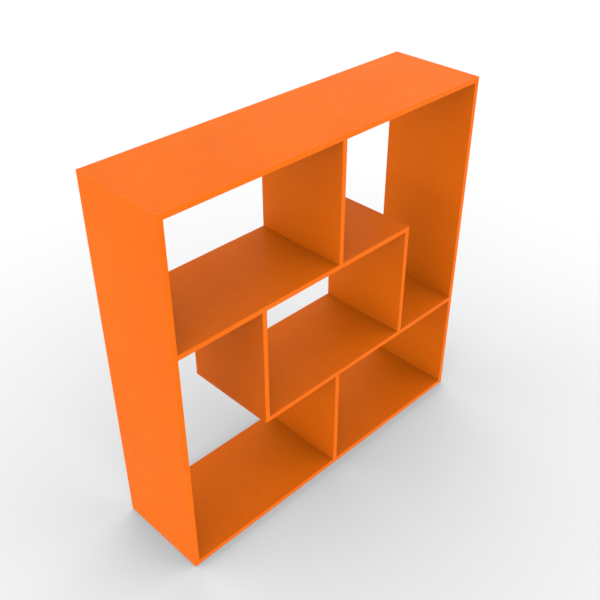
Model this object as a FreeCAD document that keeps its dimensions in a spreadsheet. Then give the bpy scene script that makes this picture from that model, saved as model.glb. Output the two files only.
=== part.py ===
import FreeCAD, Part
import math
import os
import Sketcher

# Open cube storage unit: ten faced boards, their edge strips, and the fittings that hold them together.
# +X runs to the right, the open front faces -Y, +Z is up, and the origin is on the floor under the middle
# of the unit. Lengths are millimetres.
#
# The two sides run the full height and hold the top and bottom panels between them. The upper shelf starts
# at the left side and ends over the middle right divider. The lower shelf starts under the middle left
# divider and ends at the right side. Every board is as deep as the unit, and there is no back panel.

SIZES = [
    ("unit_width", 1200, "outside width"),
    ("unit_height", 1200, "height of the boards, without the glides"),
    ("unit_depth", 320, "outside depth, edge strips included"),
    ("board", 16, "thickness of every board"),
    ("strip", 1, "thickness of an edge strip"),
    ("strip_round", 0.6, "rounding of an edge strip's outer edges"),
    ("cam_setback", 24, "centre of a cam from the end of its board"),
    ("cam_row", 110, "cams in front of and behind the middle of the depth"),
    ("dowel_row", 78, "dowels in front of and behind the middle of the depth"),
    ("cam_bore_radius", 7.5, "bore that a cam sits in"),
    ("cam_bore_depth", 12.5, "depth of that bore"),
    ("cam_radius", 7.35, "body of a cam"),
    ("cam_length", 12.2, "height of a cam"),
    ("cam_chamber_radius", 4.5, "room in a cam for the bolt's head"),
    ("cam_chamber_length", 7.2, "height of that room"),
    ("cam_slot_width", 4.8, "slot in a cam's wall for the bolt's neck"),
    ("cam_slot_angle", 140, "how far round that slot runs, in degrees"),
    ("cam_mouth_radius", 3.4, "hole in a cam's wall that the bolt's head passes"),
    ("socket_radius", 2.31, "corner radius of the six-sided key socket"),
    ("socket_depth", 3, "depth of the key socket"),
    ("bolt_bore_radius", 4, "bore in a board's end for the bolt's shank"),
    ("shank_radius", 3.5, "shank of a cam bolt"),
    ("shank_length", 16.2, "length of that shank"),
    ("neck_radius", 2, "neck behind a cam bolt's head"),
    ("head_start", 21.4, "where the head begins, from the end of the board"),
    ("head_radius", 3.2, "head of a cam bolt"),
    ("head_end", 26, "where the head stops"),
    ("recess_radius", 1.2, "driver recess in a cam bolt"),
    ("recess_depth", 1.4, "depth of that recess"),
    ("thread_radius", 3, "threaded end of a cam bolt"),
    ("thread_root", 2.3, "the same between its ridges"),
    ("thread_length", 11, "length of that thread"),
    ("thread_point", 1.2, "taper at the tip of the thread"),
    ("dowel_radius", 4, "wooden dowel"),
    ("dowel_in_face", 10, "part of a dowel in the face of a board"),
    ("dowel_in_end", 20, "part of a dowel in the end of a board"),
    ("dowel_chamfer", 0.8, "chamfer at both ends of a dowel"),
    ("flute_radius", 0.45, "one glue flute along a dowel"),
    ("bore_room", 0.05, "radial room round a dowel, thread, screw or nail"),
    ("bore_spare", 0.5, "depth that a blind bore has to spare"),
    ("cover_radius", 9, "cap over a cam"),
    ("cover_height", 1.2, "how far a cap stands off the board"),
    ("cover_round", 0.7, "rounding of a cap's rim"),
    ("dish_radius", 7, "shallow dish in a cap's crown"),
    ("dish_depth", 0.4, "depth of that dish"),
    ("peg_radius", 1.7, "peg of a cap, in the cam's key socket"),
    ("peg_length", 2.5, "length of that peg"),
    ("bracket_width", 20, "wall bracket, measured along the unit"),
    ("bracket_reach", 40, "leg under the top panel"),
    ("bracket_drop", 34, "leg against the wall"),
    ("bracket_plate", 2, "plate thickness of a wall bracket"),
    ("bracket_bend", 1, "inside radius of its bend"),
    ("bracket_corner", 4, "rounding of its free corners"),
    ("wall_hole_radius", 2.75, "hole for the wall screw"),
    ("wall_hole_drop", 20, "wall screw's hole below the top panel"),
    ("screw_hole_radius", 2, "hole for the screw into the top panel"),
    ("screw_inset", 26, "that screw from the back of the unit"),
    ("screw_radius", 1.75, "ridges and plain shank of a bracket screw"),
    ("screw_root", 1.25, "the same between its ridges"),
    ("screw_reach", 10.5, "how far that screw enters the top panel"),
    ("screw_point", 2, "its pointed tip"),
    ("screw_head_radius", 3.5, "head of a bracket screw"),
    ("screw_head_height", 2.2, "height of that head"),
    ("screw_head_round", 1.3, "rounding of that head's rim"),
    ("cross_reach", 1.9, "cross recess in that head, from its middle to the end of an arm"),
    ("cross_arm", 0.4, "half the width of an arm"),
    ("cross_depth", 1.2, "depth of the cross recess"),
    ("glide_radius", 7, "floor glide"),
    ("glide_height", 2, "how far a glide holds the unit off the floor"),
    ("glide_bevel", 0.5, "bevel round a glide's sole"),
    ("glide_inset", 30, "glides from the front and the back"),
    ("nail_radius", 1, "shank of a glide's nail"),
    ("nail_reach", 12, "how far a nail enters its board"),
    ("nail_point", 1.5, "its pointed tip"),
    ("nail_head_radius", 2.2, "head of a nail"),
    ("nail_head_height", 0.6, "height of that head"),
    ("nail_head_lift", 0.5, "head of a nail above the floor"),
]

FLUTES = 12
HEXAGON = 6
THREAD_RIDGES = 6
ALONG_Z = FreeCAD.Vector(0, 0, 1)
STAND_UP = FreeCAD.Rotation(FreeCAD.Vector(0, 1, 0), -90)
HALF_TURN = FreeCAD.Rotation(ALONG_Z, 180)
NO_TURN = FreeCAD.Rotation()

# A board's own frame: x runs along its length from its start, y from -depth / 2 at the front to depth / 2
# at the back, and z through its thickness. The face at z = 0 is the one that cams are let into. It is the
# underside of a lying board and the right-hand face of a standing one.
HALF_DEPTH = "Sizes.unit_depth / 2"
CORE_HALF_DEPTH = "(Sizes.unit_depth / 2 - Sizes.strip)"
MID_BOARD = "Sizes.board / 2"
CAM_FACE = "0"
PLAIN_FACE = "Sizes.board"

# Heights of the boards' undersides above the floor, and of shelf tops above the foot of the sides.
FOOT = "Sizes.glide_height"
LOWER_SHELF = "Sizes.glide_height + Sizes.unit_height / 3 - Sizes.board"
UPPER_SHELF = "Sizes.glide_height + Sizes.unit_height * 2 / 3 - Sizes.board"
TOP_PANEL = "Sizes.glide_height + Sizes.unit_height - Sizes.board"

# Each board: its length, its start (x and z), whether it stands, the ends that hold cams, the ends that
# carry a strip, and the boards that butt against it, as (place along the board, face).
BOARDS = {
    "left_side": {
        "length": "Sizes.unit_height",
        "start": ("-Sizes.unit_width / 2 + Sizes.board", FOOT),
        "stands": True,
        "cam_ends": (),
        "strip_ends": ("far",),
        "meets": [
            (MID_BOARD, CAM_FACE),
            ("Sizes.unit_height * 2 / 3 - Sizes.board / 2", CAM_FACE),
            ("Sizes.unit_height - Sizes.board / 2", CAM_FACE),
        ],
    },
    "right_side": {
        "length": "Sizes.unit_height",
        "start": ("Sizes.unit_width / 2", FOOT),
        "stands": True,
        "cam_ends": (),
        "strip_ends": ("far",),
        "meets": [
            (MID_BOARD, PLAIN_FACE),
            ("Sizes.unit_height / 3 - Sizes.board / 2", PLAIN_FACE),
            ("Sizes.unit_height - Sizes.board / 2", PLAIN_FACE),
        ],
    },
    "top_panel": {
        "length": "(Sizes.unit_width - 2 * Sizes.board)",
        "start": ("-Sizes.unit_width / 2 + Sizes.board", TOP_PANEL),
        "stands": False,
        "cam_ends": ("near", "far"),
        "strip_ends": (),
        "meets": [("Sizes.unit_width / 2 - Sizes.board / 2", CAM_FACE)],
    },
    "bottom_panel": {
        "length": "(Sizes.unit_width - 2 * Sizes.board)",
        "start": ("-Sizes.unit_width / 2 + Sizes.board", FOOT),
        "stands": False,
        "cam_ends": ("near", "far"),
        "strip_ends": (),
        "meets": [("Sizes.unit_width / 2 - Sizes.board / 2", PLAIN_FACE)],
    },
    "upper_shelf": {
        "length": "(Sizes.unit_width * 3 / 4)",
        "start": ("-Sizes.unit_width / 2 + Sizes.board", UPPER_SHELF),
        "stands": False,
        "cam_ends": ("near",),
        "strip_ends": ("far",),
        "meets": [
            ("Sizes.unit_width / 4 - Sizes.board / 2", CAM_FACE),
            ("Sizes.unit_width / 2 - Sizes.board / 2", PLAIN_FACE),
            ("Sizes.unit_width * 3 / 4 - Sizes.board / 2", CAM_FACE),
        ],
    },
    "lower_shelf": {
        "length": "(Sizes.unit_width * 3 / 4 - Sizes.board)",
        "start": ("-Sizes.unit_width / 4", LOWER_SHELF),
        "stands": False,
        "cam_ends": ("far",),
        "strip_ends": ("near",),
        "meets": [
            (MID_BOARD, PLAIN_FACE),
            ("Sizes.unit_width / 4 + Sizes.board / 2", CAM_FACE),
            ("Sizes.unit_width / 2 + Sizes.board / 2", PLAIN_FACE),
        ],
    },
    "upper_divider": {
        "length": "(Sizes.unit_height / 3 - Sizes.board)",
        "start": ("Sizes.board", UPPER_SHELF + " + Sizes.board"),
        "stands": True,
        "cam_ends": ("near", "far"),
        "strip_ends": (),
        "meets": [],
    },
    "middle_left_divider": {
        "length": "(Sizes.unit_height / 3 - Sizes.board)",
        "start": ("-Sizes.unit_width / 4 + Sizes.board", LOWER_SHELF + " + Sizes.board"),
        "stands": True,
        "cam_ends": ("near", "far"),
        "strip_ends": (),
        "meets": [],
    },
    "middle_right_divider": {
        "length": "(Sizes.unit_height / 3 - Sizes.board)",
        "start": ("Sizes.unit_width / 4 + Sizes.board", LOWER_SHELF + " + Sizes.board"),
        "stands": True,
        "cam_ends": ("near", "far"),
        "strip_ends": (),
        "meets": [],
    },
    "lower_divider": {
        "length": "(Sizes.unit_height / 3 - 2 * Sizes.board)",
        "start": ("Sizes.board", FOOT + " + Sizes.board"),
        "stands": True,
        "cam_ends": ("near", "far"),
        "strip_ends": (),
        "meets": [],
    },
}

# Cams under the bottom panel face the floor and stay bare.
UNCOVERED_BOARDS = ("bottom_panel",)

# The brackets hang under the top panel, over the middles of its two long compartments.
BRACKET_PLACES = {
    "wall_bracket_left": "-Sizes.unit_width / 4",
    "wall_bracket_right": "Sizes.unit_width / 4",
}

document = FreeCAD.newDocument("cube_storage_unit")
sheet = document.addObject("Spreadsheet::Sheet", "Sizes")
nodes = []
bored = []


def fill_sheet():
    """Write the driving dimensions: name, value and meaning, one row each."""
    for row, (alias, size, meaning) in enumerate(SIZES, start=1):
        sheet.set(f"A{row}", alias)
        sheet.set(f"B{row}", str(size))
        sheet.set(f"C{row}", meaning)
        sheet.setAlias(f"B{row}", alias)
    document.recompute()


def value(expression):
    """What an expression on the sizes comes to."""
    return float(sheet.evalExpression(expression))


def make_node(item, label):
    """Make an object one of the sub-parts, under its own label."""
    item.Label = label
    nodes.append(item)
    return item


def place(item, x="0", y="0", z="0", rotation=NO_TURN):
    """Put an object at a bound position."""
    item.Placement = FreeCAD.Placement(FreeCAD.Vector(value(x), value(y), value(z)), rotation)
    for axis, expression in (("x", x), ("y", y), ("z", z)):
        item.setExpression(f"Placement.Base.{axis}", expression)


# ---- sketches and features ----

def new_sketch(body, name, role, shift=("0", "0", "0")):
    """Start a sketch on one of a body's origin planes, shifted along the plane's own three axes."""
    sketch = body.newObject("Sketcher::SketchObject", name)
    plane = next(item for item in body.Origin.OriginFeatures if item.Role == role)
    sketch.AttachmentSupport = [(plane, "")]
    sketch.MapMode = "FlatFace"
    for axis, expression in zip("xyz", shift):
        sketch.setExpression(f"AttachmentOffset.Base.{axis}", expression)
    return sketch


def dimension(sketch, kind, *where, size):
    """Add a dimension to a sketch and bind it to an expression."""
    index = sketch.addConstraint(Sketcher.Constraint(kind, *where, value(size)))
    sketch.setExpression(f"Constraints[{index}]", size)


def draw_polygon(sketch, corners):
    """Draw a closed polygon whose corners are pairs of expressions."""
    points = [FreeCAD.Vector(value(x), value(y), 0) for x, y in corners]
    count = len(points)
    for index in range(count):
        sketch.addGeometry(Part.LineSegment(points[index], points[(index + 1) % count]), False)
    for index in range(count):
        sketch.addConstraint(Sketcher.Constraint("Coincident", index, 2, (index + 1) % count, 1))
    for index, (x, y) in enumerate(corners):
        dimension(sketch, "DistanceX", -1, 1, index, 1, size=x)
        dimension(sketch, "DistanceY", -1, 1, index, 1, size=y)


def draw_circles(sketch, centres, radius):
    """Draw equal circles whose centres are pairs of expressions."""
    for index, (x, y) in enumerate(centres):
        centre = FreeCAD.Vector(value(x), value(y), 0)
        sketch.addGeometry(Part.Circle(centre, ALONG_Z, value(radius)), False)
        dimension(sketch, "DistanceX", -1, 1, index, 3, size=x)
        dimension(sketch, "DistanceY", -1, 1, index, 3, size=y)
        dimension(sketch, "Radius", index, size=radius)


def add_pad(body, name, sketch, length, backward=False):
    """Pad a sketch along its normal, or against it."""
    pad = body.newObject("PartDesign::Pad", name)
    pad.Profile = sketch
    pad.Reversed = backward
    pad.setExpression("Length", length)
    return pad


def bore(body, name, role, shift, forward, centres, radius, depth):
    """Bore equal blind holes square to a plane, along its normal or against it."""
    sketch = new_sketch(body, name + "_centres", role, shift)
    draw_circles(sketch, centres, radius)
    pocket = body.newObject("PartDesign::Pocket", name)
    pocket.Profile = sketch
    pocket.Reversed = forward
    pocket.setExpression("Length", depth)
    bored.append((pocket, len(centres) * math.pi * value(radius) ** 2 * value(depth)))


def add_fillet(body, name, base, edge_middles, radius):
    """Round the edges of a feature whose middles are at the given points."""
    document.recompute()
    names = []
    for index, edge in enumerate(base.Shape.Edges, start=1):
        middle = edge.valueAt((edge.FirstParameter + edge.LastParameter) / 2)
        if any(middle.distanceToPoint(point) < 1e-3 for point in edge_middles):
            names.append(f"Edge{index}")
    if len(names) != len(edge_middles):
        raise RuntimeError(f"{body.Name}: found {len(names)} of {len(edge_middles)} edges to round")
    fillet = body.newObject("PartDesign::Fillet", name)
    fillet.Base = (base, names)
    fillet.setExpression("Radius", radius)
    return fillet


def turned_body(name, role, shift, axis, profile):
    """A body of revolution: a closed profile turned about its sketch's horizontal or vertical axis."""
    body = document.addObject("PartDesign::Body", name)
    sketch = new_sketch(body, name + "_profile", role, shift)
    draw_polygon(sketch, profile)
    turn = body.newObject("PartDesign::Revolution", name + "_turned")
    turn.Profile = sketch
    turn.ReferenceAxis = (sketch, [axis])
    turn.Angle = 360
    return body


def ridges(start, end, root, crest):
    """Half a section of a thread, drawn as separate ridges: pairs of place along it and radius."""
    pitch = f"({end} - ({start})) / {THREAD_RIDGES}"
    points = []
    for ridge in range(THREAD_RIDGES):
        points.append((f"{start} + {pitch} * {ridge}", root))
        points.append((f"{start} + {pitch} * {ridge + 0.5}", crest))
    points.append((end, root))
    return points


def cross_recess(body, name, shift):
    """Press a cross recess along +Z into a screw's head."""
    reach = "Sizes.cross_reach"
    arm = "Sizes.cross_arm"
    quarter = [(reach, f"-{arm}"), (reach, arm), (arm, arm)]
    corners = []
    for _ in range(4):
        corners += quarter
        quarter = [(f"-({y})", x) for x, y in quarter]
    sketch = new_sketch(body, name + "_cross", "XY_Plane", shift)
    draw_polygon(sketch, corners)
    pocket = body.newObject("PartDesign::Pocket", name)
    pocket.Profile = sketch
    pocket.Reversed = True
    pocket.setExpression("Length", "Sizes.cross_depth")
    # Two bars across each other, less the square that they share.
    width = 2 * value(arm)
    area = 2 * (2 * value(reach) * width) - width ** 2
    bored.append((pocket, area * value("Sizes.cross_depth")))


def cylinder(name, radius, height, x, z, rotation=NO_TURN, angle="360"):
    """A cylinder, or a sector of one, standing at (x, 0, z) before it is turned."""
    item = document.addObject("Part::Cylinder", name)
    item.setExpression("Radius", radius)
    item.setExpression("Height", height)
    item.setExpression("Angle", angle)
    place(item, x, "0", z, rotation)
    return item


def gather(label, copies):
    """Join copies of one piece as a sub-part of separate solids."""
    group = document.addObject("Part::Compound", label)
    group.Links = copies
    return make_node(group, label)


def copy_of(master, name, x="0", y="0", z="0", rotation=NO_TURN):
    """Another of the same piece, at its own place."""
    copy = document.addObject("App::Link", name)
    copy.LinkedObject = master
    place(copy, x, y, z, rotation)
    return copy


# ---- boards ----

def rows(distance):
    """The front and the back row at a distance from the middle of the depth."""
    return ("-" + distance, distance)


def make_board(name, board):
    """One faced board without its strips, bored for every fitting that it holds."""
    length = board["length"]
    body = document.addObject("PartDesign::Body", name)
    near = "Sizes.strip" if "near" in board["strip_ends"] else "0"
    far = length + " - Sizes.strip" if "far" in board["strip_ends"] else length
    outline = new_sketch(body, name + "_outline", "XY_Plane")
    front = "-" + CORE_HALF_DEPTH
    corners = [(near, front), (far, front), (far, CORE_HALF_DEPTH), (near, CORE_HALF_DEPTH)]
    draw_polygon(outline, corners)
    add_pad(body, name + "_panel", outline, "Sizes.board")

    for end in board["cam_ends"]:
        is_near = end == "near"
        centre = "Sizes.cam_setback" if is_near else length + " - Sizes.cam_setback"
        end_plane = ("0", "0", "0" if is_near else length)
        bore(body, f"{name}_{end}_cams", "XY_Plane", ("0", "0", CAM_FACE), True,
             [(centre, row) for row in rows("Sizes.cam_row")],
             "Sizes.cam_bore_radius", "Sizes.cam_bore_depth")
        bore(body, f"{name}_{end}_bolts", "YZ_Plane", end_plane, is_near,
             [(row, MID_BOARD) for row in rows("Sizes.cam_row")],
             "Sizes.bolt_bore_radius", "Sizes.cam_setback")
        bore(body, f"{name}_{end}_dowels", "YZ_Plane", end_plane, is_near,
             [(row, MID_BOARD) for row in rows("Sizes.dowel_row")],
             "Sizes.dowel_radius + Sizes.bore_room", "Sizes.dowel_in_end + Sizes.bore_spare")

    for face in (CAM_FACE, PLAIN_FACE):
        met = [where for where, met_face in board["meets"] if met_face == face]
        if not met:
            continue
        into_board = face == CAM_FACE
        side = "cam" if into_board else "plain"
        bore(body, f"{name}_{side}_face_threads", "XY_Plane", ("0", "0", face), into_board,
             [(where, row) for where in met for row in rows("Sizes.cam_row")],
             "Sizes.thread_radius + Sizes.bore_room", "Sizes.thread_length + Sizes.bore_spare")
        bore(body, f"{name}_{side}_face_dowels", "XY_Plane", ("0", "0", face), into_board,
             [(where, row) for where in met for row in rows("Sizes.dowel_row")],
             "Sizes.dowel_radius + Sizes.bore_room", "Sizes.dowel_in_face + Sizes.bore_spare")

    x, z = board["start"]
    place(body, x, "0", z, STAND_UP if board["stands"] else NO_TURN)
    return make_node(body, name)


def bore_for_brackets(body):
    """Pilot holes under the top panel for the bracket screws."""
    back = f"{HALF_DEPTH} - Sizes.screw_inset"
    to_start = "Sizes.unit_width / 2 - Sizes.board"
    centres = [(f"{x} + {to_start}", back) for x in BRACKET_PLACES.values()]
    bore(body, "bracket_pilots", "XY_Plane", ("0", "0", CAM_FACE), True, centres,
         "Sizes.screw_radius + Sizes.bore_room", "Sizes.screw_reach + Sizes.bore_spare")


def bore_for_nails(body, role, where):
    """Pilot holes for the glides' nails, in a side's foot or under the bottom panel."""
    inset = f"({HALF_DEPTH} - Sizes.glide_inset)"
    centres = [(row, where) if role == "YZ_Plane" else (where, row) for row in rows(inset)]
    bore(body, body.Name + "_nail_pilots", role, ("0", "0", "0"), True, centres,
         "Sizes.nail_radius + Sizes.bore_room", "Sizes.nail_reach + Sizes.bore_spare")


def make_edge_strips(name, board, end_strip):
    """The glued strips on a board: front, back, and any end that stays in sight."""
    body = document.addObject("PartDesign::Body", name + "_long_strip")
    section = new_sketch(body, name + "_strip_section", "YZ_Plane")
    front = "-" + HALF_DEPTH
    inner = "-" + CORE_HALF_DEPTH
    draw_polygon(section, [(front, "0"), (inner, "0"), (inner, PLAIN_FACE), (front, PLAIN_FACE)])
    pad = add_pad(body, name + "_strip_pad", section, board["length"])
    middle = value(board["length"]) / 2
    outer_edges = [FreeCAD.Vector(middle, value(front), value(z)) for z in (CAM_FACE, PLAIN_FACE)]
    add_fillet(body, name + "_strip_rounding", pad, outer_edges, "Sizes.strip_round")

    prefix = f"{name}_strip"
    copies = [
        copy_of(body, prefix + "_front"),
        copy_of(body, prefix + "_back", board["length"], rotation=HALF_TURN),
    ]
    if "near" in board["strip_ends"]:
        copies.append(copy_of(end_strip, prefix + "_near_end"))
    if "far" in board["strip_ends"]:
        copies.append(copy_of(end_strip, prefix + "_far_end", board["length"], rotation=HALF_TURN))
    strips = gather("edge_strips_" + name, copies)
    strips.setExpression("Placement", f"{name}.Placement")


def make_end_strip():
    """The short strip over a board's open end, between its front and back strips."""
    body = document.addObject("PartDesign::Body", "end_strip")
    section = new_sketch(body, "end_strip_section", "XZ_Plane", ("0", "0", CORE_HALF_DEPTH))
    draw_polygon(section, [("0", "0"), ("Sizes.strip", "0"), ("Sizes.strip", PLAIN_FACE), ("0", PLAIN_FACE)])
    pad = add_pad(body, "end_strip_pad", section, "2 * " + CORE_HALF_DEPTH, backward=True)
    outer_edges = [FreeCAD.Vector(0, 0, value(z)) for z in (CAM_FACE, PLAIN_FACE)]
    add_fillet(body, "end_strip_rounding", pad, outer_edges, "Sizes.strip_round")
    return body


# ---- fittings, each modelled on a board that starts at x = 0 with its cam face at z = 0 ----

def make_cam():
    """Die-cast cam: a drum with a key socket, a room for the bolt's head, and a slot for its neck."""
    drum = cylinder("cam_drum", "Sizes.cam_radius", "Sizes.cam_length", "Sizes.cam_setback", "0")
    socket = document.addObject("Part::Prism", "cam_socket")
    socket.Polygon = HEXAGON
    socket.setExpression("Circumradius", "Sizes.socket_radius")
    socket.setExpression("Height", "Sizes.socket_depth")
    place(socket, "Sizes.cam_setback")
    chamber_floor = "Sizes.board / 2 - Sizes.cam_chamber_length / 2"
    chamber = cylinder("cam_chamber", "Sizes.cam_chamber_radius", "Sizes.cam_chamber_length",
                       "Sizes.cam_setback", chamber_floor)
    # The slot runs from just past the bolt's line, round the wall, to just past the mouth.
    slot_start = FreeCAD.Rotation(ALONG_Z, 150)
    slot = cylinder("cam_slot", "Sizes.cam_radius + 1", "Sizes.cam_slot_width", "Sizes.cam_setback",
                    "Sizes.board / 2 - Sizes.cam_slot_width / 2", slot_start, "Sizes.cam_slot_angle")
    towards_front = FreeCAD.Rotation(FreeCAD.Vector(1, 0, 0), 90)
    mouth = cylinder("cam_mouth", "Sizes.cam_mouth_radius", "Sizes.cam_radius + 1", "Sizes.cam_setback",
                     MID_BOARD, towards_front)
    hollows = document.addObject("Part::MultiFuse", "cam_hollows")
    hollows.Shapes = [socket, chamber, slot, mouth]
    cam = document.addObject("Part::Cut", "cam_lock")
    cam.Base = drum
    cam.Tool = hollows
    return cam


def make_cam_bolt():
    """Steel bolt: its thread is in the other board's face, its head inside the cam."""
    thread_start = "-Sizes.thread_length + Sizes.thread_point"
    profile = [
        ("-Sizes.thread_length", "0"),
        ("-Sizes.thread_length", "Sizes.thread_root - Sizes.thread_point / 2"),
        *ridges(thread_start, "0", "Sizes.thread_root", "Sizes.thread_radius"),
        ("0", "Sizes.shank_radius"),
        ("Sizes.shank_length", "Sizes.shank_radius"),
        ("Sizes.shank_length", "Sizes.neck_radius"),
        ("Sizes.head_start", "Sizes.neck_radius"),
        ("Sizes.head_start", "Sizes.head_radius"),
        ("Sizes.head_end", "Sizes.head_radius"),
        ("Sizes.head_end", "Sizes.recess_radius"),
        ("Sizes.head_end - Sizes.recess_depth", "0"),
    ]
    return turned_body("cam_bolt", "XY_Plane", ("0", "0", MID_BOARD), "H_Axis", profile)


def make_dowel():
    """Fluted beech dowel with chamfered ends, across the joint."""
    chamfered = "Sizes.dowel_radius - Sizes.dowel_chamfer"
    profile = [
        ("-Sizes.dowel_in_face", "0"),
        ("-Sizes.dowel_in_face", chamfered),
        ("-Sizes.dowel_in_face + Sizes.dowel_chamfer", "Sizes.dowel_radius"),
        ("Sizes.dowel_in_end - Sizes.dowel_chamfer", "Sizes.dowel_radius"),
        ("Sizes.dowel_in_end", chamfered),
        ("Sizes.dowel_in_end", "0"),
    ]
    body = turned_body("dowel", "XY_Plane", ("0", "0", MID_BOARD), "H_Axis", profile)
    length = "(Sizes.dowel_in_face + Sizes.dowel_in_end)"
    # The sketch's own normal is the dowel's axis.
    section = new_sketch(body, "flute_section", "YZ_Plane", ("0", MID_BOARD, "-Sizes.dowel_in_face"))
    draw_circles(section, [("0", "Sizes.dowel_radius")], "Sizes.flute_radius")
    flute = body.newObject("PartDesign::Pocket", "flute")
    flute.Profile = section
    flute.Reversed = True
    flute.setExpression("Length", length)
    document.recompute()
    pattern = body.newObject("PartDesign::PolarPattern", "flutes")
    pattern.Originals = [flute]
    pattern.Axis = (section, ["N_Axis"])
    pattern.Angle = 360
    pattern.Occurrences = FLUTES
    body.Tip = pattern
    return body


def make_cover():
    """Moulded cap over a cam, dished on top, with a peg in the cam's key socket."""
    profile = [
        ("0", "-Sizes.cover_height + Sizes.dish_depth"),
        ("Sizes.dish_radius - Sizes.dish_depth", "-Sizes.cover_height + Sizes.dish_depth"),
        ("Sizes.dish_radius", "-Sizes.cover_height"),
        ("Sizes.cover_radius", "-Sizes.cover_height"),
        ("Sizes.cover_radius", "0"),
        ("Sizes.peg_radius", "0"),
        ("Sizes.peg_radius", "Sizes.peg_length"),
        ("0", "Sizes.peg_length"),
    ]
    body = turned_body("cam_cover", "XZ_Plane", ("Sizes.cam_setback", "0", "0"), "V_Axis", profile)
    rim_x = value("Sizes.cam_setback - Sizes.cover_radius")
    rim_middle = FreeCAD.Vector(rim_x, 0, -value("Sizes.cover_height"))
    add_fillet(body, "cam_cover_rim", body.Tip, [rim_middle], "Sizes.cover_round")
    return body


def make_fittings(name, board, masters):
    """The cams, bolts, dowels and caps at a board's ends, each kind as one sub-part."""
    kinds = [
        ("cam_locks_", masters["cam"], "Sizes.cam_row"),
        ("cam_bolts_", masters["bolt"], "Sizes.cam_row"),
        ("dowels_", masters["dowel"], "Sizes.dowel_row"),
    ]
    if name not in UNCOVERED_BOARDS:
        kinds.append(("cam_covers_", masters["cover"], "Sizes.cam_row"))
    for prefix, master, row_distance in kinds:
        copies = []
        for end in board["cam_ends"]:
            x = "0" if end == "near" else board["length"]
            rotation = NO_TURN if end == "near" else HALF_TURN
            for number, row in enumerate(rows(row_distance), start=1):
                copies.append(copy_of(master, f"{prefix}{name}_{end}_{number}", x, row, "0", rotation))
        group = gather(prefix + name, copies)
        group.setExpression("Placement", f"{name}.Placement")


# ---- wall brackets and floor glides ----

def make_bracket():
    """Bent steel angle, modelled under y = 0 at the unit's back and z = 0 at the panel's underside."""
    body = document.addObject("PartDesign::Body", "wall_bracket")
    half_width = "Sizes.bracket_width / 2"
    section = new_sketch(body, "bracket_section", "YZ_Plane", ("0", "0", "-" + half_width))
    draw_polygon(section, [
        ("0", "0"),
        ("-Sizes.bracket_reach", "0"),
        ("-Sizes.bracket_reach", "-Sizes.bracket_plate"),
        ("-Sizes.bracket_plate", "-Sizes.bracket_plate"),
        ("-Sizes.bracket_plate", "-Sizes.bracket_drop"),
        ("0", "-Sizes.bracket_drop"),
    ])
    pad = add_pad(body, "bracket_angle", section, "Sizes.bracket_width")
    plate = value("Sizes.bracket_plate")
    side = value(half_width)
    inside_bend = FreeCAD.Vector(0, -plate, -plate)
    bend = add_fillet(body, "inside_bend", pad, [inside_bend], "Sizes.bracket_bend")
    outside_bend = FreeCAD.Vector(0, 0, 0)
    bend = add_fillet(body, "outside_bend", bend, [outside_bend], "Sizes.bracket_bend + Sizes.bracket_plate")
    free_corners = []
    for x in (-side, side):
        free_corners.append(FreeCAD.Vector(x, -value("Sizes.bracket_reach"), -plate / 2))
        free_corners.append(FreeCAD.Vector(x, -plate / 2, -value("Sizes.bracket_drop")))
    add_fillet(body, "free_corners", bend, free_corners, "Sizes.bracket_corner")
    bore(body, "screw_hole", "XY_Plane", ("0", "0", "0"), False,
         [("0", "-Sizes.screw_inset")], "Sizes.screw_hole_radius", "Sizes.bracket_plate")
    bore(body, "wall_hole", "XZ_Plane", ("0", "0", "0"), True,
         [("0", "-Sizes.wall_hole_drop")], "Sizes.wall_hole_radius", "Sizes.bracket_plate")
    return body


def make_bracket_screw():
    """Pan-head screw up through the bracket into the top panel, in the bracket's own frame."""
    seat = "-Sizes.bracket_plate"
    head_top = f"{seat} - Sizes.screw_head_height"
    thread = ridges("0", "Sizes.screw_reach - Sizes.screw_point", "Sizes.screw_root", "Sizes.screw_radius")
    profile = [
        ("0", head_top),
        ("Sizes.screw_head_radius", head_top),
        ("Sizes.screw_head_radius", seat),
        ("Sizes.screw_radius", seat),
        ("Sizes.screw_radius", "0"),
        *[(radius, z) for z, radius in thread],
        ("0", "Sizes.screw_reach"),
    ]
    body = turned_body("bracket_screw", "XZ_Plane", ("0", "0", "Sizes.screw_inset"), "V_Axis", profile)
    rim_x = -value("Sizes.screw_head_radius")
    rim_middle = FreeCAD.Vector(rim_x, -value("Sizes.screw_inset"), value(head_top))
    add_fillet(body, "bracket_screw_crown", body.Tip, [rim_middle], "Sizes.screw_head_round")
    cross_recess(body, "bracket_screw_recess", ("0", "-Sizes.screw_inset", head_top))
    return body


def make_glide():
    """Nylon glide under z = 0, with a hole and a counterbore for its nail."""
    nail_hole = "Sizes.nail_radius + Sizes.bore_room"
    counterbore = "Sizes.nail_head_radius + 2 * Sizes.bore_room"
    seat = "-Sizes.glide_height + Sizes.nail_head_lift + Sizes.nail_head_height"
    profile = [
        (nail_hole, "0"),
        (nail_hole, seat),
        (counterbore, seat),
        (counterbore, "-Sizes.glide_height"),
        ("Sizes.glide_radius - Sizes.glide_bevel", "-Sizes.glide_height"),
        ("Sizes.glide_radius", "-Sizes.glide_height + Sizes.glide_bevel"),
        ("Sizes.glide_radius", "0"),
    ]
    return turned_body("floor_glide", "XZ_Plane", ("0", "0", "0"), "V_Axis", profile)


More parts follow.
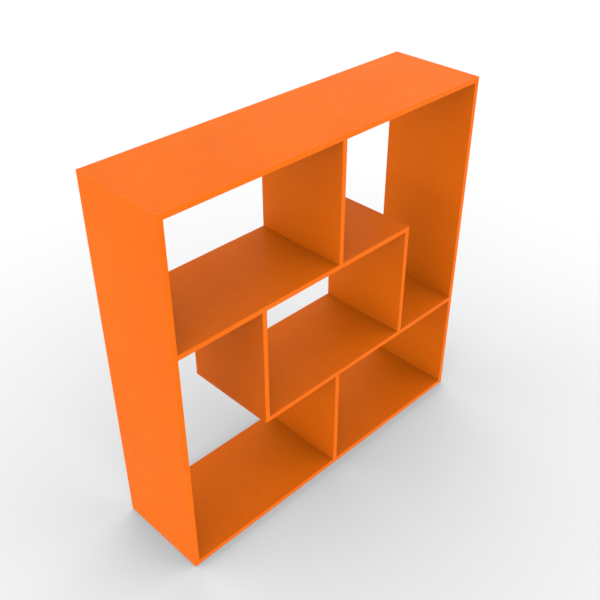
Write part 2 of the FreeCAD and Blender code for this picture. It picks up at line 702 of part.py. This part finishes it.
def make_nail():
    """Steel nail that holds a glide, its head clear of the floor."""
    head_sole = "-Sizes.glide_height + Sizes.nail_head_lift"
    profile = [
        ("0", head_sole),
        ("Sizes.nail_head_radius", head_sole),
        ("Sizes.nail_head_radius", f"{head_sole} + Sizes.nail_head_height"),
        ("Sizes.nail_radius", f"{head_sole} + Sizes.nail_head_height"),
        ("Sizes.nail_radius", "Sizes.nail_reach - Sizes.nail_point"),
        ("0", "Sizes.nail_reach"),
    ]
    return turned_body("glide_nail", "XZ_Plane", ("0", "0", "0"), "V_Axis", profile)


def fit_brackets():
    """Both wall brackets and their screws under the top panel."""
    bracket = make_bracket()
    screw = make_bracket_screw()
    screws = []
    for label, x in BRACKET_PLACES.items():
        gather(label, [copy_of(bracket, label + "_plate", x, HALF_DEPTH, TOP_PANEL)])
        screws.append(copy_of(screw, label + "_screw", x, HALF_DEPTH, TOP_PANEL))
    gather("bracket_screws", screws)


def fit_glides():
    """A glide front and back under each side and under the lower divider."""
    glide = make_glide()
    nail = make_nail()
    under_side = "(Sizes.unit_width / 2 - Sizes.board / 2)"
    inset = f"({HALF_DEPTH} - Sizes.glide_inset)"
    glides = []
    nails = []
    for place_name, x in (("left", "-" + under_side), ("middle", MID_BOARD), ("right", under_side)):
        for row_name, y in zip(("front", "back"), rows(inset)):
            glides.append(copy_of(glide, f"glide_{place_name}_{row_name}", x, y, FOOT))
            nails.append(copy_of(nail, f"nail_{place_name}_{row_name}", x, y, FOOT))
    gather("floor_glides", glides)
    gather("glide_nails", nails)


# ---- building, checking and writing ----

def build():
    """Make every sub-part."""
    fill_sheet()
    masters = {"cam": make_cam(), "bolt": make_cam_bolt(), "dowel": make_dowel(), "cover": make_cover()}
    end_strip = make_end_strip()
    for name, board in BOARDS.items():
        body = make_board(name, board)
        if name == "top_panel":
            bore_for_brackets(body)
        if name in ("left_side", "right_side"):
            bore_for_nails(body, "YZ_Plane", MID_BOARD)
        if name == "bottom_panel":
            bore_for_nails(body, "XY_Plane", "Sizes.unit_width / 2 - Sizes.board / 2")
        make_edge_strips(name, board, end_strip)
        if board["cam_ends"]:
            make_fittings(name, board, masters)
    fit_brackets()
    fit_glides()
    document.recompute()


def check():
    """Stop if an object failed, a hole was bored into thin air, or a sub-part isn't a sound solid."""
    for item in document.Objects:
        if "Invalid" in item.State or "Error" in item.State:
            raise RuntimeError(f"{item.Name} failed: {item.State}")
    # A bolt's bore runs into its cam's bore, so it removes less than its own volume.
    smallest_share = 0.6
    for pocket, drilled in bored:
        removed = pocket.BaseFeature.Shape.Volume - pocket.Shape.Volume
        if not smallest_share * drilled < removed < 1.001 * drilled:
            raise RuntimeError(f"{pocket.Name} removed {removed:.1f} of {drilled:.1f} cubic millimetres")
    for node in nodes:
        if node.Shape.isNull() or not node.Shape.isValid() or not node.Shape.Solids:
            raise RuntimeError(f"{node.Label} is not a sound solid")


def write():
    """Write one file for each sub-part."""
    os.makedirs("parts", exist_ok=True)
    for node in nodes:
        node.Shape.exportStep(os.path.join("parts", node.Label + ".step"))
    solids = sum(len(node.Shape.Solids) for node in nodes)
    print(f"{len(nodes)} sub-parts, {solids} solids")


build()
check()
write()
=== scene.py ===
import math

import bpy
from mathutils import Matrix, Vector


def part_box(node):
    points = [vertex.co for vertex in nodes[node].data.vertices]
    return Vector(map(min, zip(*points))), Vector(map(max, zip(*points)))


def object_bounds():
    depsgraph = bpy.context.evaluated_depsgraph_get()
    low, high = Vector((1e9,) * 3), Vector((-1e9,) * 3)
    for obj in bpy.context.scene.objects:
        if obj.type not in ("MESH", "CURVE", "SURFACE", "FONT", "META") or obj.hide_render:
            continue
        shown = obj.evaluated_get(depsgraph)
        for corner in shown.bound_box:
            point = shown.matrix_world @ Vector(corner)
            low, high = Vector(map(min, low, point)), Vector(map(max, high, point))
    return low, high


# The cube storage unit in a plain pale studio. Every length is in metres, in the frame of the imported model:
# +X to the unit's right, the open front towards -Y, +Z up, the origin on the floor under the middle.

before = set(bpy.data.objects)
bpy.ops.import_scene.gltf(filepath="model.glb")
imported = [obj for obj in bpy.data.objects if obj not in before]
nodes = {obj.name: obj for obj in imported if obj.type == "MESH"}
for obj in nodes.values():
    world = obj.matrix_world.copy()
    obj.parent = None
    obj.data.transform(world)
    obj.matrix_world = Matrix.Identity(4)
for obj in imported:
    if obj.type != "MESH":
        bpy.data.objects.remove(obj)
cad_low, cad_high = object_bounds()

STANDING_BOARDS = (
    "left_side",
    "right_side",
    "upper_divider",
    "middle_left_divider",
    "middle_right_divider",
    "lower_divider",
)
LYING_BOARDS = ("top_panel", "bottom_panel", "upper_shelf", "lower_shelf")

# ---- the studio ----

CAMERA_AZIMUTH = math.radians(-44.9)
CAMERA_ELEVATION = math.radians(35.15)
CAMERA_DISTANCE = 2.1776  # in widths of the unit
LENS = 50.45
SENSOR = 36.0

# The sky's strength above and below the horizon, and the glow along it, which fades with height.
SKY_ABOVE = 0.99
SKY_BELOW = 0.48
HORIZON_SOFTNESS = 0.02
HORIZON_GLOW = 1.56
HORIZON_SPREAD = 0.2
WHITE = (1, 1, 1, 1)

# Painted light on the floor: its colour runs from darker near the unit to paler far away, as the light would
# fall.
FLOOR_PAINTED_SHADE_NEAR = (0.87, 0.87, 0.87, 1)
FLOOR_PAINTED_LIGHT_FAR = (0.925, 0.925, 0.925, 1)
PAINTED_LIGHT_FADE_START = 0.8
PAINTED_LIGHT_FADE_END = 2.4
FLOOR_HALF = 40.0
FLOOR_ROUGHNESS = 0.9


def make_camera():
    """The camera looks at the middle of the unit from its front left, above its top."""
    middle = (cad_low + cad_high) / 2
    distance = CAMERA_DISTANCE * (cad_high.x - cad_low.x)
    towards_camera = Vector((
        math.sin(CAMERA_AZIMUTH) * math.cos(CAMERA_ELEVATION),
        -math.cos(CAMERA_AZIMUTH) * math.cos(CAMERA_ELEVATION),
        math.sin(CAMERA_ELEVATION),
    ))
    data = bpy.data.cameras.new("camera")
    data.lens = LENS
    data.sensor_width = SENSOR
    camera = bpy.data.objects.new("camera", data)
    camera.location = middle + distance * towards_camera
    camera.rotation_euler = (-towards_camera).to_track_quat("-Z", "Y").to_euler()
    bpy.context.scene.collection.objects.link(camera)
    bpy.context.scene.camera = camera


def make_floor():
    """A plain pale floor that fills the view. Its colour is painted darker near the unit and paler away from
    it: painted shade and painted light standing in for light falling brighter further out.
    """
    side = FLOOR_HALF
    corners = [(-side, -side, 0), (side, -side, 0), (side, side, 0), (-side, side, 0)]
    mesh = bpy.data.meshes.new("floor")
    mesh.from_pydata(corners, [], [(0, 1, 2, 3)])
    mesh.update()
    floor = bpy.data.objects.new("floor", mesh)
    bpy.context.scene.collection.objects.link(floor)

    material, tree, shader = new_material("pale_floor_painted_light")
    from_middle = add_node(tree, "ShaderNodeVectorMath", {0: object_place(tree)}, operation="LENGTH")
    # Painted light: the floor's colour brightens with distance from the unit's middle.
    distance = ramp(tree, from_middle.outputs["Value"], PAINTED_LIGHT_FADE_START, PAINTED_LIGHT_FADE_END)
    tree.links.new(mix(tree, distance, FLOOR_PAINTED_SHADE_NEAR, FLOOR_PAINTED_LIGHT_FAR), shader.inputs["Base Color"])
    shader.inputs["Roughness"].default_value = FLOOR_ROUGHNESS
    shader.inputs["Specular IOR Level"].default_value = 0.0
    mesh.materials.append(material)
    # The tent is white below the floor too: the floor takes shadows but gives no light and casts none.
    floor.visible_diffuse = False
    floor.visible_shadow = False


def make_light():
    """Soft white light from all round, as in a photo tent: strongest from the walls, weakest from below."""
    world = bpy.data.worlds.new("studio")
    world.use_nodes = True
    tree = world.node_tree
    direction = add_node(tree, "ShaderNodeTexCoord").outputs["Generated"]
    height = add_node(tree, "ShaderNodeSeparateXYZ", {0: direction}).outputs[2]
    even = ramp(tree, height, -HORIZON_SOFTNESS, HORIZON_SOFTNESS, SKY_BELOW, SKY_ABOVE)
    fading = calculate(tree, "DIVIDE", calculate(tree, "ABSOLUTE", height), -HORIZON_SPREAD)
    glow = calculate(tree, "MULTIPLY", calculate(tree, "EXPONENT", fading), HORIZON_GLOW)
    background = tree.nodes["Background"]
    background.inputs["Color"].default_value = WHITE
    tree.links.new(calculate(tree, "ADD", even, glow), background.inputs["Strength"])
    bpy.context.scene.world = world
    # The boards give each other no coloured light: their inner faces are no redder than their outer ones.
    bpy.context.scene.cycles.diffuse_bounces = 0
    bpy.context.scene.view_settings.view_transform = "Standard"


# ---- shader building ----

# The Mix node keeps its colour sockets under these numbers.
MIX_FIRST = 6
MIX_SECOND = 7
MIX_RESULT = 2


def new_material(name):
    """A material with its node tree and its Principled shader."""
    material = bpy.data.materials.new(name)
    material.use_nodes = True
    tree = material.node_tree
    shader = tree.nodes["Principled BSDF"]
    return material, tree, shader


def add_node(tree, kind, inputs=None, **settings):
    """Add a node, set its properties, and set or link its inputs."""
    item = tree.nodes.new(kind)
    for key, setting in settings.items():
        setattr(item, key, setting)
    for key, source in (inputs or {}).items():
        if isinstance(source, bpy.types.NodeSocket):
            tree.links.new(source, item.inputs[key])
        else:
            item.inputs[key].default_value = source
    return item


def calculate(tree, operation, first, second=0.0):
    """One step of arithmetic on numbers or sockets."""
    return add_node(tree, "ShaderNodeMath", {0: first, 1: second}, operation=operation).outputs[0]


def weigh(tree, *parts):
    """Add up pairs of a value and its weight."""
    total = 0.0
    for source, weight in parts:
        total = calculate(tree, "ADD", calculate(tree, "MULTIPLY", source, weight), total)
    return total


def ramp(tree, factor, low, high, to_low=0.0, to_high=1.0):
    """Map a stretch of values smoothly onto another."""
    inputs = {"Value": factor, "From Min": low, "From Max": high, "To Min": to_low, "To Max": to_high}
    return add_node(tree, "ShaderNodeMapRange", inputs, interpolation_type="SMOOTHSTEP").outputs["Result"]


def noise(tree, place, scale, detail=2.0, roughness=0.5):
    """Even noise from 0 to 1, scale features to a metre."""
    inputs = {"Vector": place, "Scale": scale, "Detail": detail, "Roughness": roughness}
    return add_node(tree, "ShaderNodeTexNoise", inputs).outputs[0]


def cells(tree, place, scale):
    """Cells, scale of them to a metre, each with a tone of its own from 0 to 1."""
    colours = add_node(tree, "ShaderNodeTexVoronoi", {"Vector": place, "Scale": scale}).outputs["Color"]
    return add_node(tree, "ShaderNodeSeparateColor", {"Color": colours}).outputs[0]


def mix(tree, factor, first, second):
    """Blend two colours."""
    inputs = {"Factor": factor, MIX_FIRST: first, MIX_SECOND: second}
    return add_node(tree, "ShaderNodeMix", inputs, data_type="RGBA").outputs[MIX_RESULT]


def bump(tree, height, distance, below=None):
    """Raise the surface by a height map, on top of another bump."""
    inputs = {"Height": height, "Distance": distance, "Strength": 1.0}
    if below is not None:
        inputs["Normal"] = below
    return add_node(tree, "ShaderNodeBump", inputs).outputs["Normal"]


def object_place(tree, offset=(0, 0, 0)):
    """Where a point lies in the unit's frame, moved by an offset so that pieces don't share a pattern."""
    coordinate = add_node(tree, "ShaderNodeTexCoord").outputs["Object"]
    return add_node(tree, "ShaderNodeVectorMath", {0: coordinate, 1: offset}, operation="ADD").outputs[0]


def normal_sizes(tree):
    """How far the surface faces along X, Y and Z, from 0 to 1 each."""
    normal = add_node(tree, "ShaderNodeNewGeometry").outputs["Normal"]
    parts = add_node(tree, "ShaderNodeSeparateXYZ", {0: normal}).outputs
    return [calculate(tree, "ABSOLUTE", part) for part in parts]


# ---- materials: scales are features to a metre, depths of relief are in metres ----

ORANGE_LIGHT = (0.955, 0.179, 0.0052, 1)
ORANGE_DARK = (0.85, 0.141, 0.0030, 1)
ORANGE_FLECK = (0.96, 0.235, 0.030, 1)
ORANGE_RUBBED = (0.9, 0.34, 0.12, 1)
CLOUD_SCALE = 5.0
MOTTLE_SCALE = 230.0
MOTTLE_DEPTH = 0.00028
GRAIN_SCALE = 1100.0
GRAIN_DEPTH = 0.00005
FLECK_SCALE = 620.0
GLOSS_SCALE = 14.0
RUB_SCALE = 22.0

FACING_THICKNESS = 0.0003
CORE_TAN = (0.50, 0.34, 0.19, 1)
CORE_BROWN = (0.27, 0.155, 0.075, 1)
CHIP_SCALE = 420.0
CHIP_DEPTH = 0.0003
DUST_SCALE = 1500.0
CORE_ROUGHNESS = 0.9

FACING_SPECULAR = 0.055
STRIP_SPECULAR = 0.07
CAP_SPECULAR = 0.2

BEECH_DARK = (0.50, 0.31, 0.16, 1)
BEECH_LIGHT = (0.66, 0.45, 0.26, 1)
BEECH_FLECK = (0.34, 0.18, 0.08, 1)
BEECH_FIBRE_SCALE = 700.0
BEECH_FLECK_SCALE = 1600.0
BEECH_DEPTH = 0.00005
BEECH_ROUGHNESS = 0.7

NYLON_CLEAN = (0.80, 0.80, 0.77, 1)
NYLON_SCUFFED = (0.55, 0.54, 0.51, 1)
SCUFF_SCALE = 500.0
SCUFF_DEPTH = 0.00003

METAL_SPREAD = 0.04  # in roughness, either way
METALS = {
    "die_cast_zinc": {
        "light": (0.60, 0.61, 0.63, 1),
        "dark": (0.47, 0.48, 0.50, 1),
        "roughness": 0.50,
        "crystal_scale": 900.0,
        "grain_scale": 2500.0,
        "grain_depth": 0.00004,
    },
    "zinc_plate": {
        "light": (0.74, 0.74, 0.72, 1),
        "dark": (0.62, 0.63, 0.64, 1),
        "roughness": 0.40,
        "crystal_scale": 420.0,
        "grain_scale": 2500.0,
        "grain_depth": 0.00001,
    },
    "bare_steel": {
        "light": (0.58, 0.58, 0.58, 1),
        "dark": (0.46, 0.46, 0.47, 1),
        "roughness": 0.42,
        "crystal_scale": 1200.0,
        "grain_scale": 3000.0,
        "grain_depth": 0.00001,
    },
}


def orange_surface(tree, place):
    """The boards' orange: a fine mottle with pale flecks. Returns its colour, roughness and relief."""
    cloud = noise(tree, place, CLOUD_SCALE, 3.0)
    mottle = noise(tree, place, MOTTLE_SCALE, 4.0, 0.65)
    grain = noise(tree, place, GRAIN_SCALE, 2.0, 0.6)
    tone = weigh(tree, (cloud, 0.2), (mottle, 0.45), (grain, 0.35))
    colour = mix(tree, ramp(tree, tone, 0.38, 0.62), ORANGE_DARK, ORANGE_LIGHT)
    fleck = ramp(tree, noise(tree, place, FLECK_SCALE, 1.0), 0.74, 0.80, 0.0, 0.5)
    colour = mix(tree, fleck, colour, ORANGE_FLECK)
    roughness = ramp(tree, noise(tree, place, GLOSS_SCALE, 4.0), 0.3, 0.7, 0.48, 0.56)
    relief = bump(tree, grain, GRAIN_DEPTH, bump(tree, mottle, MOTTLE_DEPTH))
    return colour, roughness, relief


def on_facing(tree, board, thickness_axis):
    """1 on the two faces of a board, 0 where it is cut or bored."""
    low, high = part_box(board)
    axis = "XYZ".index(thickness_axis)
    middle = (low[axis] + high[axis]) / 2
    half = (high[axis] - low[axis]) / 2
    along = add_node(tree, "ShaderNodeSeparateXYZ", {0: object_place(tree)}).outputs[axis]
    depth = calculate(tree, "ABSOLUTE", calculate(tree, "SUBTRACT", along, middle))
    is_face = calculate(tree, "GREATER_THAN", depth, half - FACING_THICKNESS)
    is_flat = calculate(tree, "GREATER_THAN", normal_sizes(tree)[axis], 0.7)
    return calculate(tree, "MULTIPLY", is_face, is_flat)


def faced_board(name, thickness_axis, number):
    """Melamine facing on both faces of a board, raw chipboard where the board is cut or bored."""
    material, tree, shader = new_material("faced_board_" + name)
    place = object_place(tree, (3.1 * number, 1.7 * number, 2.3 * number))
    colour, roughness, relief = orange_surface(tree, place)
    chips = weigh(tree, (cells(tree, place, CHIP_SCALE), 0.7), (noise(tree, place, DUST_SCALE, 3.0), 0.3))
    core_colour = mix(tree, chips, CORE_BROWN, CORE_TAN)

    faced = on_facing(tree, name, thickness_axis)
    raw = calculate(tree, "SUBTRACT", 1.0, faced)
    tree.links.new(mix(tree, faced, core_colour, colour), shader.inputs["Base Color"])
    tree.links.new(weigh(tree, (faced, roughness), (raw, CORE_ROUGHNESS)), shader.inputs["Roughness"])
    raised = bump(tree, calculate(tree, "MULTIPLY", chips, raw), CHIP_DEPTH, relief)
    tree.links.new(raised, shader.inputs["Normal"])
    shader.inputs["Specular IOR Level"].default_value = FACING_SPECULAR
    return material


def edge_strip():
    """Orange plastic strip, a little glossier than the facing, rubbed pale along its rounded edges."""
    material, tree, shader = new_material("edge_strip")
    place = object_place(tree)
    colour, roughness, relief = orange_surface(tree, place)
    along_x, along_y, along_z = normal_sizes(tree)
    squareness = calculate(tree, "MAXIMUM", along_x, calculate(tree, "MAXIMUM", along_y, along_z))
    rounded = ramp(tree, squareness, 0.98, 0.80)
    worn = ramp(tree, noise(tree, place, RUB_SCALE, 5.0), 0.45, 0.75, 0.0, 0.35)
    rubbed = calculate(tree, "MULTIPLY", rounded, worn)
    tree.links.new(mix(tree, rubbed, colour, ORANGE_RUBBED), shader.inputs["Base Color"])
    tree.links.new(roughness, shader.inputs["Roughness"])
    tree.links.new(relief, shader.inputs["Normal"])
    shader.inputs["Specular IOR Level"].default_value = STRIP_SPECULAR
    return material


def moulded_orange():
    """The caps' plastic: the boards' orange, glossier than they are."""
    material, tree, shader = new_material("moulded_orange")
    colour, roughness, relief = orange_surface(tree, object_place(tree))
    tree.links.new(colour, shader.inputs["Base Color"])
    tree.links.new(calculate(tree, "SUBTRACT", roughness, 0.1), shader.inputs["Roughness"])
    tree.links.new(relief, shader.inputs["Normal"])
    shader.inputs["Specular IOR Level"].default_value = CAP_SPECULAR
    return material


def metal(name, light, dark, roughness, crystal_scale, grain_scale, grain_depth):
    """A metal whose crystals differ a little in tone and gloss, with fine grain over them."""
    material, tree, shader = new_material(name)
    place = object_place(tree)
    grain = noise(tree, place, grain_scale, 3.0)
    tone = weigh(tree, (cells(tree, place, crystal_scale), 0.6), (grain, 0.4))
    tree.links.new(mix(tree, tone, dark, light), shader.inputs["Base Color"])
    rough = ramp(tree, tone, 0.0, 1.0, roughness + METAL_SPREAD, roughness - METAL_SPREAD)
    tree.links.new(rough, shader.inputs["Roughness"])
    tree.links.new(bump(tree, grain, grain_depth), shader.inputs["Normal"])
    shader.inputs["Metallic"].default_value = 1.0
    return material


def beech():
    """Pale beech with small dark flecks."""
    material, tree, shader = new_material("beech")
    place = object_place(tree)
    fibres = noise(tree, place, BEECH_FIBRE_SCALE, 4.0)
    fleck = ramp(tree, noise(tree, place, BEECH_FLECK_SCALE, 2.0), 0.6, 0.7)
    wood = mix(tree, ramp(tree, fibres, 0.35, 0.65), BEECH_DARK, BEECH_LIGHT)
    tree.links.new(mix(tree, fleck, wood, BEECH_FLECK), shader.inputs["Base Color"])
    tree.links.new(bump(tree, fibres, BEECH_DEPTH), shader.inputs["Normal"])
    shader.inputs["Roughness"].default_value = BEECH_ROUGHNESS
    return material


def nylon():
    """Off-white glide plastic, scuffed grey."""
    material, tree, shader = new_material("nylon")
    scuff = ramp(tree, noise(tree, object_place(tree), SCUFF_SCALE, 5.0), 0.45, 0.7)
    tree.links.new(mix(tree, scuff, NYLON_CLEAN, NYLON_SCUFFED), shader.inputs["Base Color"])
    tree.links.new(ramp(tree, scuff, 0.0, 1.0, 0.4, 0.65), shader.inputs["Roughness"])
    tree.links.new(bump(tree, scuff, SCUFF_DEPTH), shader.inputs["Normal"])
    return material


def dress(node_name, material):
    """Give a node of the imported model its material."""
    mesh = nodes[node_name].data
    mesh.materials.clear()
    mesh.materials.append(material)


def dress_all():
    """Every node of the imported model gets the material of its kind."""
    boards = [(name, "X") for name in STANDING_BOARDS] + [(name, "Z") for name in LYING_BOARDS]
    for number, (name, axis) in enumerate(boards):
        dress(name, faced_board(name, axis, number))
    metals = {name: metal(name, **look) for name, look in METALS.items()}
    kinds = {
        "edge_strips_": edge_strip(),
        "cam_locks_": metals["die_cast_zinc"],
        "cam_bolts_": metals["zinc_plate"],
        "dowels_": beech(),
        "cam_covers_": moulded_orange(),
        "wall_bracket_": metals["zinc_plate"],
        "bracket_screws": metals["zinc_plate"],
        "floor_glides": nylon(),
        "glide_nails": metals["bare_steel"],
    }
    for node_name in nodes:
        for prefix, material in kinds.items():
            if node_name.startswith(prefix):
                dress(node_name, material)


make_camera()
make_floor()
make_light()
dress_all()
